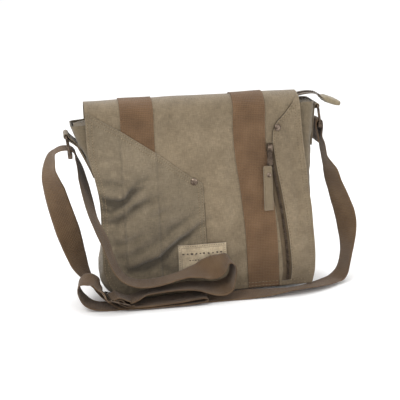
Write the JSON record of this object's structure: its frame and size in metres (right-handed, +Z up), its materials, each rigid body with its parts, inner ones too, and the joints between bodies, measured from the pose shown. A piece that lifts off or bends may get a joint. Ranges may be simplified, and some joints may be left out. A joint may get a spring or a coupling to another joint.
{
  "type": "shoulder bag",
  "caption": "Canvas shoulder bag with a fall-over flap, zip pocket, two sewn webbing bands and a long webbing strap laid round its base.",
  "frame": {"origin": "centre of the bag's base, on the surface it stands on", "axes": "+X to the bag's right end as seen from the front, -Y out of the front, +Z up"},
  "size_m": [0.4978, 0.1416, 0.314],
  "materials": {
    "canvas": "brushed cotton canvas",
    "roof_canvas": "brushed cotton canvas",
    "roof_tape": "woven tape",
    "roof_teeth": "dark antique",
    "cap_canvas": "folded canvas",
    "flap_canvas": "brushed cotton canvas",
    "webbing_left_weave": "ribbed webbing",
    "webbing_right_weave": "ribbed webbing",
    "pocket_canvas": "brushed cotton canvas",
    "panel_canvas": "brushed cotton canvas",
    "zip_tape": "woven tape",
    "zip_teeth": "dark antique",
    "zip_slider_metal": "dark antique",
    "zip_pull_metal": "dark antique",
    "pull_canvas": "doubled canvas",
    "pull_rivet_metal": "antique",
    "rivet_left_metal": "polished antique",
    "rivet_right_metal": "polished antique",
    "label_cloth": "plain woven cotton",
    "tab_left_canvas": "doubled canvas",
    "tab_right_canvas": "doubled canvas",
    "ring_left_metal": "dark antique",
    "ring_right_metal": "dark antique",
    "strap_weave": "ribbed webbing",
    "slide_metal": "dark antique"
  },
  "bodies": {
    "root": {"bag_body": "canvas", "roof_panel": "roof_canvas", "roof_zip_tape": "roof_tape", "roof_zip_teeth": "roof_teeth", "roof_zip_cap": "cap_canvas", "flap": "flap_canvas", "webbing_left": "webbing_left_weave", "webbing_right": "webbing_right_weave", "pocket_left": "pocket_canvas", "panel_right": "panel_canvas", "flap_zip_tape": "zip_tape", "flap_zip_teeth": "zip_teeth", "flap_zip_slider": "zip_slider_metal", "flap_zip_pull": "zip_pull_metal", "pull_tab": "pull_canvas", "pull_rivet": "pull_rivet_metal", "rivet_left": "rivet_left_metal", "rivet_right": "rivet_right_metal", "label": "label_cloth", "tab_left": "tab_left_canvas", "tab_right": "tab_right_canvas", "ring_left": "ring_left_metal", "ring_right": "ring_right_metal", "strap": "strap_weave", "strap_slide": "slide_metal"}
  },
  "joints": []
}
